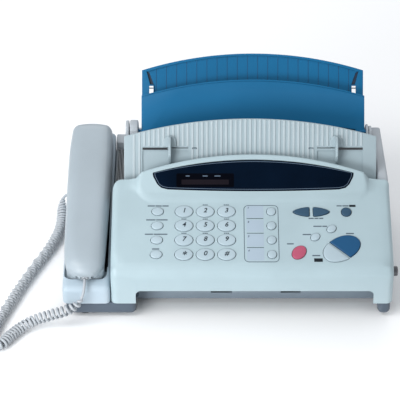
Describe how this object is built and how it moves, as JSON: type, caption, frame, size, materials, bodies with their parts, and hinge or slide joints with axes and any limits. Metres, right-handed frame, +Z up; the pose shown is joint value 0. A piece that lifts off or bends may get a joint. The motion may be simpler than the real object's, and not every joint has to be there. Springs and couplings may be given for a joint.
{
  "type": "fax machine",
  "caption": "Desktop thermal-transfer fax machine with a corded handset, sloping key panel, arched display, document tray and paper support.",
  "frame": {"origin": "on the table, under the middle of the machine's box measured without its cord", "axes": "+X to the machine's right, +Y to its rear, +Z up"},
  "size_m": [0.3942, 0.2797, 0.1667],
  "materials": {
    "base_plastic": "fine matt texture",
    "cover_plastic": "fine matt texture",
    "housing_plastic": "fine matt texture",
    "handset_plastic": "satin moulded",
    "tray_plastic": "fine matt texture",
    "blue_plastic": "fine matt texture",
    "key_plastic": "satin",
    "key_blue": "satin",
    "key_pink": "satin",
    "window_lens": "polished dark lens",
    "rubber": "matt",
    "steel": "plain",
    "circuit_board": "solder mask",
    "dark_plastic": "matt",
    "cord_plastic": "satin sheath",
    "clear_plug": "polished"
  },
  "bodies": {
    "base": {"base_case": "base_plastic", "thermal_head": "steel", "main_board": "circuit_board", "drive_motor": "steel", "foot_front_left": "rubber", "foot_front_right": "rubber", "foot_rear_left": "rubber", "foot_rear_right": "rubber", "cradle_housing": "cover_plastic", "rear_housing": "housing_plastic", "base_plug": "clear_plug", "coil_cord": "cord_plastic"},
    "top_cover": {"cover_frame": "dark_plastic", "document_tray": "tray_plastic", "scan_unit": "dark_plastic"},
    "control_panel": {"control_panel": "cover_plastic", "lcd_window": "window_lens", "panel_board": "circuit_board"},
    "paper_cover": {"paper_cover": "blue_plastic"},
    "paper_support": {"paper_support": "blue_plastic"},
    "document_guide_left": {"document_guide_left": "tray_plastic"},
    "document_guide_right": {"document_guide_right": "tray_plastic"},
    "guide_pinion": {"guide_pinion": "dark_plastic"},
    "handset": {"handset_back_shell": "handset_plastic", "handset_inner_shell": "handset_plastic", "handset_plug": "clear_plug"},
    "hook_switch": {"hook_switch": "dark_plastic"},
    "release_button": {"release_button": "dark_plastic"},
    "platen_roller": {"platen_roller": "rubber"},
    "ribbon_take_up_spool": {"ribbon_take_up_spool": "dark_plastic"},
    "ribbon_supply_spool": {"ribbon_supply_spool": "dark_plastic"},
    "document_roller": {"document_roller": "rubber"},
    "key_1": {"key_1": "key_plastic"},
    "key_2": {"key_2": "key_plastic"},
    "key_3": {"key_3": "key_plastic"},
    "key_4": {"key_4": "key_plastic"},
    "key_5": {"key_5": "key_plastic"},
    "key_6": {"key_6": "key_plastic"},
    "key_7": {"key_7": "key_plastic"},
    "key_8": {"key_8": "key_plastic"},
    "key_9": {"key_9": "key_plastic"},
    "key_star": {"key_star": "key_plastic"},
    "key_0": {"key_0": "key_plastic"},
    "key_hash": {"key_hash": "key_plastic"},
    "function_key_1": {"function_key_1": "key_plastic"},
    "function_key_2": {"function_key_2": "key_plastic"},
    "function_key_3": {"function_key_3": "key_plastic"},
    "function_key_4": {"function_key_4": "key_plastic"},
    "one_touch_key_1": {"one_touch_key_1": "key_plastic"},
    "one_touch_key_2": {"one_touch_key_2": "key_plastic"},
    "one_touch_key_3": {"one_touch_key_3": "key_plastic"},
    "one_touch_key_4": {"one_touch_key_4": "key_plastic"},
    "arrow_key_left": {"arrow_key_left": "key_blue"},
    "arrow_key_right": {"arrow_key_right": "key_blue"},
    "menu_key": {"menu_key": "key_blue"},
    "resolution_key": {"resolution_key": "key_plastic"},
    "mode_key": {"mode_key": "key_plastic"},
    "stop_key": {"stop_key": "key_pink"},
    "start_key": {"start_key": "key_blue"},
    "copy_key": {"copy_key": "key_plastic"}
  },
  "joints": [
    {"name": "top_cover_hinge", "type": "hinge", "parent": "base", "child": "top_cover", "pos_m": [0, 0.065, 0.1], "axis": [-1, 0, 0], "range_deg": [0, 45]},
    {"name": "control_panel_hinge", "type": "hinge", "parent": "top_cover", "child": "control_panel", "pos_m": [0, -0.009, 0.108], "axis": [-1, 0, 0], "range_deg": [0, 20]},
    {"name": "paper_cover_hinge", "type": "hinge", "parent": "base", "child": "paper_cover", "pos_m": [0, 0.055, 0.108], "axis": [-1, 0, 0], "range_deg": [-50, 0]},
    {"name": "paper_support_slide", "type": "slide", "parent": "base", "child": "paper_support", "axis": [0, 0.5446, 0.8387], "range_m": [0, 0.03]},
    {"name": "guide_pinion_turn", "type": "hinge", "parent": "top_cover", "child": "guide_pinion", "pos_m": [0.023, 0.0055, 0.11858], "axis": [0, -0.866, 0.5], "range_deg": [-257, 163]},
    {"name": "guide_left_slide", "type": "slide", "parent": "top_cover", "child": "document_guide_left", "axis": [-1, 0, 0], "range_m": [-0.014, 0.022]},
    {"name": "handset_lift", "type": "slide", "parent": "base", "child": "handset", "axis": [0, -0.2588, 0.9659], "range_m": [0, 0.06]},
    {"name": "hook_switch_slide", "type": "slide", "parent": "base", "child": "hook_switch", "axis": [0, -0.2588, 0.9659], "range_m": [0, 0.002]},
    {"name": "release_button_push", "type": "slide", "parent": "control_panel", "child": "release_button", "axis": [-1, 0, 0], "range_m": [0, 0.002], "stiffness_N_per_m": 200},
    {"name": "platen_turn", "type": "hinge", "parent": "base", "child": "platen_roller", "pos_m": [0, -0.009, 0.046], "axis": [1, 0, 0], "continuous": true},
    {"name": "document_roller_turn", "type": "hinge", "parent": "top_cover", "child": "document_roller", "pos_m": [0, -0.025, 0.0865], "axis": [1, 0, 0], "continuous": true},
    {"name": "ribbon_take_up_turn", "type": "hinge", "parent": "base", "child": "ribbon_take_up_spool", "pos_m": [0, -0.039, 0.042], "axis": [1, 0, 0], "continuous": true},
    {"name": "ribbon_supply_turn", "type": "hinge", "parent": "base", "child": "ribbon_supply_spool", "pos_m": [0, 0.021, 0.05], "axis": [1, 0, 0], "continuous": true},
    {"name": "guide_right_slide", "type": "slide", "parent": "top_cover", "child": "document_guide_right", "axis": [1, 0, 0], "range_m": [-0.0141, 0.0221]},
    {"name": "key_1_press", "type": "slide", "parent": "control_panel", "child": "key_1", "axis": [0, 0.4226, -0.9063], "range_m": [0, 0.0012], "stiffness_N_per_m": 200},
    {"name": "key_2_press", "type": "slide", "parent": "control_panel", "child": "key_2", "axis": [0, 0.4226, -0.9063], "range_m": [0, 0.0012], "stiffness_N_per_m": 200},
    {"name": "key_3_press", "type": "slide", "parent": "control_panel", "child": "key_3", "axis": [0, 0.4226, -0.9063], "range_m": [0, 0.0012], "stiffness_N_per_m": 200},
    {"name": "key_4_press", "type": "slide", "parent": "control_panel", "child": "key_4", "axis": [0, 0.4226, -0.9063], "range_m": [0, 0.0012], "stiffness_N_per_m": 200},
    {"name": "key_5_press", "type": "slide", "parent": "control_panel", "child": "key_5", "axis": [0, 0.4226, -0.9063], "range_m": [0, 0.0012], "stiffness_N_per_m": 200},
    {"name": "key_6_press", "type": "slide", "parent": "control_panel", "child": "key_6", "axis": [0, 0.4226, -0.9063], "range_m": [0, 0.0012], "stiffness_N_per_m": 200},
    {"name": "key_7_press", "type": "slide", "parent": "control_panel", "child": "key_7", "axis": [0, 0.4226, -0.9063], "range_m": [0, 0.0012], "stiffness_N_per_m": 200},
    {"name": "key_8_press", "type": "slide", "parent": "control_panel", "child": "key_8", "axis": [0, 0.4226, -0.9063], "range_m": [0, 0.0012], "stiffness_N_per_m": 200},
    {"name": "key_9_press", "type": "slide", "parent": "control_panel", "child": "key_9", "axis": [0, 0.4226, -0.9063], "range_m": [0, 0.0012], "stiffness_N_per_m": 200},
    {"name": "key_star_press", "type": "slide", "parent": "control_panel", "child": "key_star", "axis": [0, 0.4226, -0.9063], "range_m": [0, 0.0012], "stiffness_N_per_m": 200},
    {"name": "key_0_press", "type": "slide", "parent": "control_panel", "child": "key_0", "axis": [0, 0.4226, -0.9063], "range_m": [0, 0.0012], "stiffness_N_per_m": 200},
    {"name": "key_hash_press", "type": "slide", "parent": "control_panel", "child": "key_hash", "axis": [0, 0.4226, -0.9063], "range_m": [0, 0.0012], "stiffness_N_per_m": 200},
    {"name": "function_key_1_press", "type": "slide", "parent": "control_panel", "child": "function_key_1", "axis": [0, 0.4226, -0.9063], "range_m": [0, 0.0012], "stiffness_N_per_m": 200},
    {"name": "function_key_2_press", "type": "slide", "parent": "control_panel", "child": "function_key_2", "axis": [0, 0.4226, -0.9063], "range_m": [0, 0.0012], "stiffness_N_per_m": 200},
    {"name": "function_key_3_press", "type": "slide", "parent": "control_panel", "child": "function_key_3", "axis": [0, 0.4226, -0.9063], "range_m": [0, 0.0012], "stiffness_N_per_m": 200},
    {"name": "function_key_4_press", "type": "slide", "parent": "control_panel", "child": "function_key_4", "axis": [0, 0.4226, -0.9063], "range_m": [0, 0.0012], "stiffness_N_per_m": 200},
    {"name": "one_touch_key_1_press", "type": "slide", "parent": "control_panel", "child": "one_touch_key_1", "axis": [0, 0.4226, -0.9063], "range_m": [0, 0.0012], "stiffness_N_per_m": 200},
    {"name": "one_touch_key_2_press", "type": "slide", "parent": "control_panel", "child": "one_touch_key_2", "axis": [0, 0.4226, -0.9063], "range_m": [0, 0.0012], "stiffness_N_per_m": 200},
    {"name": "one_touch_key_3_press", "type": "slide", "parent": "control_panel", "child": "one_touch_key_3", "axis": [0, 0.4226, -0.9063], "range_m": [0, 0.0012], "stiffness_N_per_m": 200},
    {"name": "one_touch_key_4_press", "type": "slide", "parent": "control_panel", "child": "one_touch_key_4", "axis": [0, 0.4226, -0.9063], "range_m": [0, 0.0012], "stiffness_N_per_m": 200},
    {"name": "arrow_key_left_press", "type": "slide", "parent": "control_panel", "child": "arrow_key_left", "axis": [0, 0.4226, -0.9063], "range_m": [0, 0.0012], "stiffness_N_per_m": 200},
    {"name": "arrow_key_right_press", "type": "slide", "parent": "control_panel", "child": "arrow_key_right", "axis": [0, 0.4226, -0.9063], "range_m": [0, 0.0012], "stiffness_N_per_m": 200},
    {"name": "menu_key_press", "type": "slide", "parent": "control_panel", "child": "menu_key", "axis": [0, 0.4226, -0.9063], "range_m": [0, 0.0012], "stiffness_N_per_m": 200},
    {"name": "resolution_key_press", "type": "slide", "parent": "control_panel", "child": "resolution_key", "axis": [0, 0.4226, -0.9063], "range_m": [0, 0.0012], "stiffness_N_per_m": 200},
    {"name": "mode_key_press", "type": "slide", "parent": "control_panel", "child": "mode_key", "axis": [0, 0.4226, -0.9063], "range_m": [0, 0.0012], "stiffness_N_per_m": 200},
    {"name": "stop_key_press", "type": "slide", "parent": "control_panel", "child": "stop_key", "axis": [0, 0.4226, -0.9063], "range_m": [0, 0.0012], "stiffness_N_per_m": 200},
    {"name": "start_key_press", "type": "slide", "parent": "control_panel", "child": "start_key", "axis": [0, 0.4226, -0.9063], "range_m": [0, 0.0012], "stiffness_N_per_m": 200},
    {"name": "copy_key_press", "type": "slide", "parent": "control_panel", "child": "copy_key", "axis": [0, 0.4226, -0.9063], "range_m": [0, 0.0012], "stiffness_N_per_m": 200}
  ],
  "couplings": [
    {"joint": "guide_right_slide", "follows": "guide_left_slide", "ratio": 1}
  ]
}
